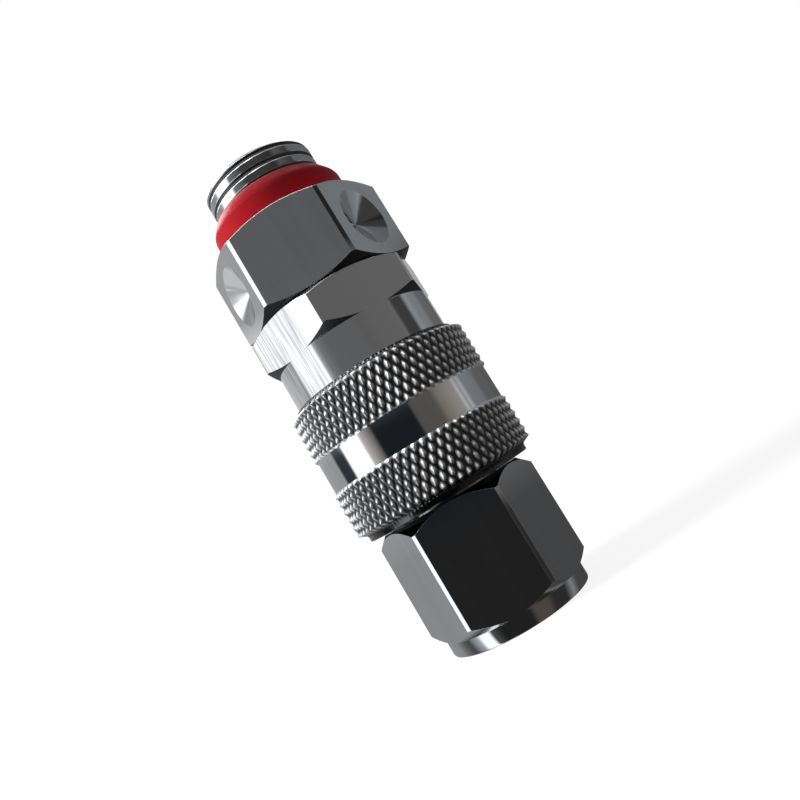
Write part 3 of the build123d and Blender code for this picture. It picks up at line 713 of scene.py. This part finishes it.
class FITTING_OT_body(bpy.types.Operator):
    """Make the socket body: hexagon, neck with run-out flats, front tube with ball holes"""
    bl_idname = "fitting.body"
    bl_label = "Socket body"

    def execute(self, context):
        s = context.scene.fitting_sizes
        angles = hexagon_angles(s.socket_flats, s.body_turn)
        reach = hexagon_reach(angles, s.socket_flats, s.body_turn)
        corner = s.socket_flats / math.sqrt(3)
        body_top, body_foot = top_of("socket_body"), foot_of("socket_body")
        bevel, ring_play = 0.3 * MM, 0.05 * MM
        ring_low, ring_high = foot_of("retaining_ring") - ring_play, top_of("retaining_ring") + ring_play
        shoulder_rise = (corner - s.neck_radius) * NECK_SLOPE
        top_drop = (corner - s.socket_flats / 2) * CHAMFER_SLOPE
        rows = plain_rows([
            (s.tube_radius - bevel, body_foot),
            (s.tube_radius, body_foot + bevel),
            (s.tube_radius, ring_low),
            (s.ring_groove, ring_low),
            (s.ring_groove, ring_high),
            (s.tube_radius, ring_high),
            (s.tube_radius, s.neck_bottom),
        ], angles)
        rows += turned_rows([
            (s.neck_radius - bevel, s.neck_bottom),
            (s.neck_radius, s.neck_bottom + bevel),
            (s.neck_radius, s.shoulder_height),
            (corner, s.shoulder_height + shoulder_rise),
            (corner, body_top - top_drop),
            (s.socket_flats / 2, body_top),
        ], reach)
        rows += plain_rows([
            (s.mouth_radius + bevel, body_top),
            (s.mouth_radius, body_top - bevel),
            (s.mouth_radius, s.mouth_foot),
            (s.chamber_radius, s.mouth_foot),
            (s.chamber_radius, s.chamber_foot),
            (s.throat_radius, s.chamber_foot),
            (s.throat_radius, s.throat_foot),
            (s.nose_bore, s.throat_foot - (s.nose_bore - s.throat_radius)),
            (s.nose_bore, s.seal_top),
            (s.seal_radius, s.seal_top),
            (s.seal_radius, s.seal_foot),
            (s.nose_bore, s.seal_foot),
            (s.nose_bore, s.guide_top + s.guide_bore - s.nose_bore),
            (s.guide_bore, s.guide_top),
            (s.guide_bore, body_foot + bevel),
            (s.guide_bore + bevel, body_foot),
        ], angles)
        piece = surface("socket_shell", angles, rows)
        overshoot = 1 * MM
        profile = [(s.ball_hole, s.guide_bore - overshoot), (s.ball_hole, s.tube_radius + overshoot)]
        cutters = []
        for ball in range(BALLS):
            swing = TURN * ball / BALLS
            along = (math.cos(swing), math.sin(swing), 0)
            cutters.append(cone_cutter((0, 0, s.ball_height), along, profile, sides=48))
        subtract(piece, cutters)
        # Painted shade on the downward faces of the slope where the neck widens into the hexagon.
        paint_shade_on_faces(piece, s.shoulder_height, s.shoulder_height + shoulder_rise, s.neck_radius, -1)
        dress(piece, chrome_finish(
            "body_chrome", roughness=0.06, grain=0.02, edge=0.12 * MM, painted_shade_tone=0.2,
            stretch=(1, 1, 0.02), fine=7600, dark_line=0.5, lined_side=-3.5 * MM,
            satin=("painted_shade", 0.45, 1.0)))
        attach(piece, "socket")
        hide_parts("socket_body")
        return {"FINISHED"}


class FITTING_OT_adapter(bpy.types.Operator):
    """Make the inlet adapter: dimpled hexagon, threaded spigot and screwed boss"""
    bl_idname = "fitting.adapter"
    bl_label = "Inlet adapter"

    def execute(self, context):
        s = context.scene.fitting_sizes
        angles = hexagon_angles(s.socket_flats, s.adapter_turn)
        reach = hexagon_reach(angles, s.socket_flats, s.adapter_turn)
        corner = s.socket_flats / math.sqrt(3)
        top_drop = (corner - s.socket_flats / 2) * CHAMFER_SLOPE
        bevel, joint = 0.3 * MM, 0.05 * MM
        hex_foot, hex_top = top_of("socket_body") + joint, foot_of("sealing_washer") - joint
        spigot_top, boss_foot = top_of("inlet_adapter"), foot_of("inlet_adapter")
        rows = plain_rows([
            (s.boss_bore + bevel, boss_foot),
            (s.boss_radius - bevel, boss_foot),
            (s.boss_radius, boss_foot + bevel),
            (s.boss_radius, s.ring_foot),
            (s.boss_radius - s.ring_depth, s.ring_foot),
            (s.boss_radius - s.ring_depth, s.ring_top),
            (s.boss_radius, s.ring_top),
            (s.boss_radius, hex_foot),
        ], angles)
        rows += turned_rows([
            (s.socket_flats / 2, hex_foot),
            (corner, hex_foot + top_drop),
            (corner, hex_top - top_drop),
            (s.socket_flats / 2, hex_top),
        ], reach)
        thread_foot = top_of("sealing_washer") + 0.04 * MM
        relief_top = thread_foot - 0.02 * MM
        end_bevel, end_slope, foot_bevel = 0.55 * MM, 1.1, 0.12 * MM
        rows += plain_rows([(s.relief_radius, hex_top), (s.relief_radius, relief_top)], angles)
        for z in np.linspace(thread_foot, spigot_top, 72):
            cut = s.spigot_depth * thread_groove(angles, z, s.thread_pitch)
            end_limit = s.spigot_radius - end_bevel + (spigot_top - z) * end_slope
            foot_limit = s.spigot_radius - foot_bevel + (z - thread_foot)
            r = np.minimum(np.minimum(s.spigot_radius - cut, end_limit), foot_limit)
            rows.append((r, np.full_like(angles, z)))
        rows += plain_rows([
            (s.spigot_bore + bevel, spigot_top),
            (s.spigot_bore, spigot_top - bevel),
            (s.spigot_bore, s.spring_seat),
            (s.boss_bore, s.spring_seat),
            (s.boss_bore, boss_foot + bevel),
        ], angles)
        piece = surface("adapter_shell", angles, rows)
        middle = (hex_foot + hex_top) / 2
        flat = s.socket_flats / 2
        overshoot, point = 0.5 * MM, 0.04 * MM
        slope = s.dimple_radius / s.dimple_depth
        profile = [
            (point, flat - s.dimple_depth + point / slope),
            (s.dimple_radius, flat),
            (s.dimple_radius + overshoot * slope, flat + overshoot),
        ]
        cutters = []
        for face in (1, 3, 5):
            facing = s.adapter_turn - math.pi / 2 + face * math.pi / 3
            along = (math.cos(facing), math.sin(facing), 0)
            cutters.append(cone_cutter((0, 0, middle), along, profile))
        subtract(piece, cutters, sharp_angle=16)
        # Painted shade in the spigot's thread grooves and on the downward chamfer at the hexagon's foot.
        crests = (s.spigot_radius, s.spigot_radius)
        mark_painted_shade(piece, (thread_foot, spigot_top), crests, s.spigot_depth, power=0.2)
        paint_shade_on_faces(piece, hex_foot - 0.01 * MM, hex_foot + top_drop, s.boss_radius, -1)
        dress(piece, chrome_finish(
            "adapter_chrome", roughness=0.06, grain=0.015, edge=0.1 * MM, painted_shade_tone=0.1,
            satin=("painted_shade", 0.4, 1.0)))
        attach(piece, "socket")
        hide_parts("inlet_adapter")
        return {"FINISHED"}


class FITTING_OT_washer(bpy.types.Operator):
    """Make the red sealing washer"""
    bl_idname = "fitting.washer"
    bl_label = "Sealing washer"

    def execute(self, context):
        s = context.scene.fitting_sizes
        low, high = foot_of("sealing_washer"), top_of("sealing_washer")
        radius = reach_of("sealing_washer")
        angles = np.linspace(0, TURN, 192, endpoint=False)
        inner, lip, knee = s.washer_bore, s.washer_lip, high - s.washer_cone
        edge, knee_cut, knee_height = 0.2 * MM, 0.25 * MM, 0.7 * MM
        rows = plain_rows([
            (inner, low),
            (radius - edge, low),
            (radius - 0.25 * edge, low + 0.3 * edge),
            (radius, low + edge),
            *[(radius - knee_cut * t * t, knee + (t - 0.5) * knee_height) for t in np.linspace(0, 1, 6)],
            (lip + 0.6 * edge, high - 0.8 * edge),
            (lip - 0.25 * edge, high - 0.15 * edge),
            (lip - 0.6 * edge, high),
            (inner, high),
        ], angles)
        piece = surface("red_washer", angles, rows, sharp_angle=50)
        red = context.scene.fitting_colours.washer_red
        dress(piece, polymer_finish("washer_red", red, roughness=0.35, mottle=0.1, shine=0.08))
        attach(piece, "socket")
        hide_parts("sealing_washer")
        return {"FINISHED"}


class FITTING_OT_sleeve(bpy.types.Operator):
    """Make the locking sleeve with its two knurled bands"""
    bl_idname = "fitting.sleeve"
    bl_label = "Locking sleeve"

    def execute(self, context):
        s = context.scene.fitting_sizes
        low, high = foot_of("locking_sleeve"), top_of("locking_sleeve")
        radius = reach_of("locking_sleeve")
        samples = 12
        support, edge = 0.02 * MM, 0.08 * MM
        lower_outer = (low + s.lip_height, s.lip_radius, s.lip_slope)
        lower_plain = (low + s.lip_height + s.lower_band, s.band_radius, s.run_out)
        upper_plain = (high - s.upper_band, s.band_radius, s.run_out)
        upper_outer = (high, radius - s.top_chamfer, s.top_slope)
        angles = np.linspace(0, TURN, s.knurl_count * samples, endpoint=False)
        rows = plain_rows([
            (s.ramp_radius, low),
            (s.lip_radius - edge, low),
            (s.lip_radius, low + edge),
        ], angles)
        rows += knurled_band(angles, radius, lower_plain, lower_outer)
        rows += plain_rows([
            (s.band_radius, lower_plain[0] + support),
            (s.band_radius, upper_plain[0] - support),
        ], angles)
        rows += knurled_band(angles, radius, upper_plain, upper_outer)
        rows += plain_rows([
            (s.sleeve_bore, high),
            (s.sleeve_bore, s.land_top),
            (s.land_radius, s.land_top),
            (s.land_radius, s.land_foot),
            (s.ramp_radius, s.ramp_start),
        ], angles)
        piece = surface("knurled_sleeve", angles, rows, sharp_angle=24)
        crest_line = [(low, s.lip_radius)]
        for foot, top in ((lower_outer, lower_plain), (upper_plain, upper_outer)):
            foot_z, foot_radius, foot_slope = foot
            top_z, top_radius, top_slope = top
            crest_line += [
                (foot_z, foot_radius),
                (foot_z + foot_slope, radius),
                (top_z - top_slope, radius),
                (top_z, top_radius),
            ]
        heights, crests = np.array(crest_line).T
        # Painted shade in the knurl grooves, on the slope above the lip and on the slope at the upper end.
        mark_painted_shade(
            piece, heights, crests, 1.1 * s.knurl_depth,
            shade_below=low + s.lip_height + 0.3 * s.lip_slope, shade_above=high - 0.7 * s.top_slope)
        knurled = [(lower_outer[0], lower_plain[0]), (upper_plain[0], upper_outer[0])]
        mark_knurl(piece, knurled, s.band_radius - s.knurl_depth)
        dress(piece, chrome_finish(
            "sleeve_chrome", roughness=0.07, grain=0.006, edge=0.03 * MM, painted_shade_tone=0.12,
            satin=("knurl", 0.38, 1.45)))
        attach(piece, "sleeve")
        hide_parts("locking_sleeve")
        return {"FINISHED"}


class FITTING_OT_inside(bpy.types.Operator):
    """Finish the springs, balls, valve and seals inside the fitting"""
    bl_idname = "fitting.inside"
    bl_label = "Inner pieces"

    def execute(self, context):
        s = context.scene.fitting_sizes
        colours = context.scene.fitting_colours
        steel = metal_finish("spring_steel", colours.spring, roughness=0.3)
        brass = metal_finish("turned_brass", colours.brass, roughness=0.28, stretch=(1, 1, 12))
        rubber = polymer_finish("black_rubber", colours.rubber, roughness=0.6, mottle=0.2)
        ball_steel = metal_finish("ball_steel", colours.ball, roughness=0.1)
        spring_foot, spring_top = foot_of("sleeve_spring"), top_of("sleeve_spring")
        sleeve_spring = coil(
            "sleeve_coil", spring_foot, spring_top, s.sleeve_coil, s.sleeve_wire, s.sleeve_turns)
        dress(sleeve_spring, steel)
        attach(sleeve_spring, "spring")
        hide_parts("sleeve_spring")
        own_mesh(sleeve_spring)
        valve_foot, valve_top = foot_of("valve_spring"), top_of("valve_spring")
        valve_spring = coil(
            "valve_coil", valve_foot, valve_top, s.valve_coil, s.valve_wire, s.valve_turns)
        dress(valve_spring, steel)
        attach(valve_spring, "socket")
        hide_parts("valve_spring")
        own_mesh(valve_spring)
        plain_pieces = {
            "retaining_ring": steel,
            "valve_poppet": brass,
            "valve_seal": rubber,
            "plug_seal": rubber,
            "adapter_o_ring": rubber,
        }
        for node, material in plain_pieces.items():
            dress(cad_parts[node], material)
        for ball in range(BALLS):
            dress(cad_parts["locking_ball_" + str(ball + 1)], ball_steel)
        return {"FINISHED"}


CARD_STRENGTH = 1.7
# Each stop: degrees round from the camera's side toward its right, brightness, warmth.
UNDER_CARDS = (
    (-180, 0.2, 0.0), (-120, 0.2, 0.0), (-100, 0.08, 0.0), (-90, 0.05, 0.0), (-73, 0.3, -0.06),
    (-66, 0.9, -0.03), (-53, 0.9, -0.03), (-48, 0.06, 0.0), (-34, 0.012, 0.0), (12, 0.012, 0.0),
    (20, 0.05, 0.12), (40, 0.05, 0.15), (50, 0.02, 0.05), (75, 0.02, 0.05), (90, 0.16, 0.0),
    (104, 0.05, 0.0), (150, 0.035, 0.0), (180, 0.2, 0.0),
)
LOW_CARDS = (
    (-180, 0.245, 0.0), (-102, 0.245, 0.0), (-99, 0.026, -0.25), (-82, 0.026, -0.25),
    (-79, 1.0, 0.0), (-54, 1.0, 0.0), (-51, 0.36, 0.05), (-37, 0.085, 0.1), (-34, 0.010, -0.2),
    (11, 0.010, -0.2), (14, 0.06, 0.08), (38, 0.065, 0.08), (44, 0.12, 0.12), (66, 0.2, 0.08),
    (70, 0.36, 0.0), (73, 0.2, -0.05), (77, 0.33, 0.0), (81, 0.15, -0.06), (100, 0.13, -0.06),
    (105, 0.09, 0.0), (150, 0.06, 0.0), (160, 0.15, 0.0), (180, 0.245, 0.0),
)
MIDDLE_CARDS = (
    (-180, 0.42, 0.0), (-99, 0.42, 0.0), (-96, 0.33, -0.02), (-88, 0.33, -0.02), (-83, 1.0, 0.0),
    (-54, 1.0, 0.0), (-50, 0.3, 0.0), (-44, 0.14, 0.0), (-34, 0.1, 0.0), (-30, 0.09, 0.0),
    (10, 0.085, 0.0), (14, 0.08, 0.04), (40, 0.09, 0.03), (56, 0.1, 0.03), (62, 0.04, 0.02),
    (67, 0.034, 0.02), (80, 0.034, 0.0), (86, 0.2, -0.05), (90, 0.19, -0.05), (94, 0.16, -0.06),
    (106, 0.15, -0.06), (112, 0.1, 0.0), (140, 0.08, 0.0), (150, 0.15, 0.0), (180, 0.42, 0.0),
)
HIGH_CARDS = (
    (-180, 0.26, 0.0), (-105, 0.26, 0.0), (-98, 0.7, 0.0), (-92, 1.0, 0.0), (-50, 1.0, 0.0),
    (-47, 0.4, 0.0), (-44, 0.8, 0.0), (-23, 0.8, 0.0), (-20, 0.085, 0.0), (5, 0.08, 0.0),
    (8, 0.015, 0.0), (60, 0.012, 0.0), (66, 0.03, 0.1), (76, 0.03, 0.0), (78, 0.004, 0.0),
    (80, 0.004, 0.0), (82, 0.13, -0.04), (96, 0.14, -0.04), (116, 0.135, -0.04), (132, 0.12, 0.0),
    (146, 0.1, 0.0), (155, 0.06, 0.0), (160, 0.06, 0.0), (170, 0.2, 0.0), (180, 0.31, 0.0),
)
TOP_CARDS = (
    (-180, 0.31, 0.0), (-105, 0.2, 0.0), (-96, 0.3, 0.0), (-88, 1.0, 0.0), (-56, 1.0, 0.0),
    (-50, 0.14, 0.0), (-20, 0.035, 0.0), (24, 0.03, 0.03), (40, 0.02, 0.0), (52, 0.07, 0.03),
    (76, 0.03, 0.0), (82, 0.09, -0.06), (116, 0.1, -0.06), (146, 0.1, 0.0), (160, 0.06, 0.0),
    (180, 0.31, 0.0),
)
SKY_CARDS = (
    (-180, 1.6, 0.0), (-130, 3.2, 0.0), (-80, 3.2, 0.0), (-30, 2.8, 0.0), (12, 2.4, 0.0),
    (28, 0.5, 0.0), (60, 0.3, 0.06), (82, 0.16, -0.06), (116, 0.17, -0.06), (146, 0.1, 0.0),
    (160, 0.4, 0.0), (180, 1.6, 0.0),
)
# Each ring, and the heights in millimetres over which it takes over from the one below. The first
# ring has none below it, so its heights aren't used.
CARD_RINGS = (
    (UNDER_CARDS, 0, 0),
    (LOW_CARDS, 6, 14),
    (MIDDLE_CARDS, 30, 40),
    (HIGH_CARDS, 60, 64),
    (TOP_CARDS, 78, 84),
    (SKY_CARDS, 98, 104),
)


def card_ramp(nodes, links, share, cards):
    """The colours of one ring of cards, by the share of the way round."""
    ramp = nodes.new("ShaderNodeValToRGB")
    elements = ramp.color_ramp.elements
    for count, (degrees, level, warm) in enumerate(cards):
        place = (degrees + 180) / 360
        stop = elements[count] if count < 2 else elements.new(place)
        stop.position = place
        stop.color = (level * (1 + warm), level, level * (1 - warm), 1)
    links.new(share, ramp.inputs["Fac"])
    return ramp.outputs["Color"]


def card_material():
    """Glow of the studio cards by direction round the fitting and by height.

    The angle of the point round the bore axis, measured from the camera's
    side, picks the card within each ring, and the height mixes each ring into
    the one below it.
    """
    material = bpy.data.materials.new("studio_cards")
    material.use_nodes = True
    nodes, links = material.node_tree.nodes, material.node_tree.links
    nodes.clear()
    place = nodes.new("ShaderNodeTexCoord")
    turn = nodes.new("ShaderNodeMapping")
    turn.inputs["Rotation"].default_value = (0, 0, -bpy.context.scene.fitting_studio.camera_azimuth)
    split = nodes.new("ShaderNodeSeparateXYZ")
    links.new(place.outputs["Object"], turn.inputs["Vector"])
    links.new(turn.outputs["Vector"], split.inputs["Vector"])
    toward_camera = combine(nodes, links, "MULTIPLY", split.outputs["Y"], -1)
    direction = combine(nodes, links, "ARCTAN2", split.outputs["X"], toward_camera)
    share = remap(nodes, links, direction, (-math.pi, math.pi))
    mixed = card_ramp(nodes, links, share, CARD_RINGS[0][0])
    for cards, mix_from, mix_to in CARD_RINGS[1:]:
        height = remap(nodes, links, split.outputs["Z"], (mix_from * MM, mix_to * MM))
        mix = nodes.new("ShaderNodeMixRGB")
        links.new(height, mix.inputs["Fac"])
        links.new(mixed, mix.inputs["Color1"])
        links.new(card_ramp(nodes, links, share, cards), mix.inputs["Color2"])
        mixed = mix.outputs["Color"]
    glow = nodes.new("ShaderNodeEmission")
    glow.inputs["Strength"].default_value = CARD_STRENGTH
    out = nodes.new("ShaderNodeOutputMaterial")
    links.new(mixed, glow.inputs["Color"])
    links.new(glow.outputs["Emission"], out.inputs["Surface"])
    return material


def seen_directly(nodes, links):
    """1 for rays that see the surface itself, in metal or through glass, and 0 for light."""
    rays = nodes.new("ShaderNodeLightPath")
    reflected = combine(
        nodes, links, "MAXIMUM", rays.outputs["Is Camera Ray"], rays.outputs["Is Glossy Ray"])
    return combine(nodes, links, "MAXIMUM", reflected, rays.outputs["Is Transmission Ray"])


class FITTING_OT_studio(bpy.types.Operator):
    """Set the camera of the photograph, the pale floor, the light and the reflection cards"""
    bl_idname = "fitting.studio"
    bl_label = "Studio"

    def execute(self, context):
        self.place_camera(context)
        self.lay_floor(context)
        self.hang_cards(context)
        self.light(context)
        return {"FINISHED"}

    def place_camera(self, context):
        """Camera at its azimuth, then turned by yaw, pitch and roll."""
        st = context.scene.fitting_studio
        data = bpy.data.cameras.new("photo_camera")
        data.sensor_width = 36
        data.lens = st.focal_length
        data.clip_start = 0.002
        data.clip_end = 20
        camera = bpy.data.objects.new("photo_camera", data)
        context.scene.collection.objects.link(camera)
        stand = Matrix.Rotation(st.camera_azimuth, 4, "Z")
        place = Matrix.Translation((0, -st.camera_distance, st.camera_height))
        yaw = Matrix.Rotation(st.camera_yaw, 4, "Z")
        pitch = Matrix.Rotation(math.pi / 2 + st.camera_pitch, 4, "X")
        roll = Matrix.Rotation(-st.camera_roll, 4, "Z")
        camera.matrix_world = stand @ place @ yaw @ pitch @ roll
        context.scene.camera = camera

    def lay_floor(self, context):
        """A wide pale floor that keeps the fitting's soft shadow."""
        st = context.scene.fitting_studio
        size = st.floor_size
        mesh = bpy.data.meshes.new("floor")
        corners = [(-size, -size, 0), (size, -size, 0), (size, size, 0), (-size, size, 0)]
        mesh.from_pydata(corners, [], [(0, 1, 2, 3)])
        floor = bpy.data.objects.new("floor", mesh)
        context.scene.collection.objects.link(floor)
        material, nodes, links, shader = new_material("pale_floor")
        shader.inputs["Base Color"].default_value = (st.floor_grey, st.floor_grey, st.floor_grey, 1)
        shader.inputs["Roughness"].default_value = 0.9
        shader.inputs["Specular IOR Level"].default_value = 0.0
        glow = nodes.new("ShaderNodeEmission")
        glow.inputs["Strength"].default_value = st.floor_glow
        sum_up = nodes.new("ShaderNodeAddShader")
        seen = nodes.new("ShaderNodeMixShader")
        links.new(shader.outputs["BSDF"], sum_up.inputs[0])
        links.new(glow.outputs["Emission"], sum_up.inputs[1])
        links.new(seen_directly(nodes, links), seen.inputs["Fac"])
        links.new(shader.outputs["BSDF"], seen.inputs[1])
        links.new(sum_up.outputs["Shader"], seen.inputs[2])
        links.new(seen.outputs["Shader"], nodes["Material Output"].inputs["Surface"])
        mesh.materials.append(material)
        floor.visible_glossy = False

    def hang_cards(self, context):
        """A ring of cards round the fitting, with a mat below, that only the metal sees.

        The ring's radius runs from a point on the mat out to the wall and then
        straight up.
        """
        st = context.scene.fitting_studio
        angles = np.linspace(0, TURN, 128, endpoint=False)
        profile = np.array([
            (1.0 * MM, -st.wall_depth),
            (st.wall_radius, -st.wall_depth),
            (st.wall_radius, st.wall_height),
        ])
        points = np.stack([
            profile[:, :1] * np.cos(angles),
            profile[:, :1] * np.sin(angles),
            profile[:, 1:] + 0 * angles,
        ], axis=-1)
        index = np.arange(points.shape[0] * points.shape[1]).reshape(points.shape[:2])
        right = np.roll(index, -1, axis=1)
        quads = np.stack([index[:-1], right[:-1], right[1:], index[1:]], axis=-1).reshape(-1, 4)
        mesh = bpy.data.meshes.new("studio_cards")
        mesh.from_pydata(points.reshape(-1, 3), [], quads)
        cards = bpy.data.objects.new("studio_cards", mesh)
        context.scene.collection.objects.link(cards)
        mesh.materials.append(card_material())
        cards.visible_camera = False
        cards.visible_diffuse = False
        cards.visible_shadow = False
        cards.visible_transmission = False

    def light(self, context):
        """White surroundings and one soft lamp from the upper left."""
        st = context.scene.fitting_studio
        world = bpy.data.worlds.new("white_studio")
        context.scene.world = world
        world.use_nodes = True
        nodes, links = world.node_tree.nodes, world.node_tree.links
        background = nodes["Background"]
        background.inputs["Color"].default_value = (1, 1, 1, 1)
        level = remap(nodes, links, seen_directly(nodes, links), target=(st.sky_level, 1.0))
        links.new(level, background.inputs["Strength"])
        data = bpy.data.lights.new("soft_sun", "SUN")
        data.energy = st.sun_energy
        data.angle = st.sun_spread
        lamp = bpy.data.objects.new("soft_sun", data)
        turn, tilt = Matrix.Rotation(st.sun_azimuth, 4, "Z"), Matrix.Rotation(st.sun_tilt, 4, "X")
        lamp.matrix_world = turn @ tilt
        lamp.visible_glossy = False
        context.scene.collection.objects.link(lamp)
        context.scene.view_settings.view_transform = "Standard"


PIECES = ("plug", "body", "adapter", "washer", "sleeve", "inside", "studio")


class FITTING_PT_panel(bpy.types.Panel):
    """Sizes, colours and one button for each piece"""
    bl_idname = "FITTING_PT_panel"
    bl_label = "Quick connect fitting"
    bl_space_type = "VIEW_3D"
    bl_region_type = "UI"
    bl_category = "Fitting"

    def draw(self, context):
        for piece in PIECES:
            self.layout.operator("fitting." + piece)
        scene = context.scene
        for group in (scene.fitting_sizes, scene.fitting_colours, scene.fitting_studio):
            box = self.layout.box()
            for name in group.bl_rna.properties.keys():
                if name not in ("rna_type", "name"):
                    box.prop(group, name)


CLASSES = (
    FittingSizes, FittingColours, StudioSizes, FITTING_OT_plug, FITTING_OT_body, FITTING_OT_adapter,
    FITTING_OT_washer, FITTING_OT_sleeve, FITTING_OT_inside, FITTING_OT_studio, FITTING_PT_panel,
)


def register():
    """Registers the classes and gives the scene its sizes, colours and studio."""
    for item in CLASSES:
        bpy.utils.register_class(item)
    bpy.types.Scene.fitting_sizes = PointerProperty(type=FittingSizes)
    bpy.types.Scene.fitting_colours = PointerProperty(type=FittingColours)
    bpy.types.Scene.fitting_studio = PointerProperty(type=StudioSizes)


def unregister():
    """Takes away what register has added."""
    del bpy.types.Scene.fitting_studio
    del bpy.types.Scene.fitting_colours
    del bpy.types.Scene.fitting_sizes
    for item in reversed(CLASSES):
        bpy.utils.unregister_class(item)


def main():
    """Makes every piece and the studio."""
    register()
    for piece in PIECES:
        getattr(bpy.ops.fitting, piece)()


if __name__ == "__main__":
    main()
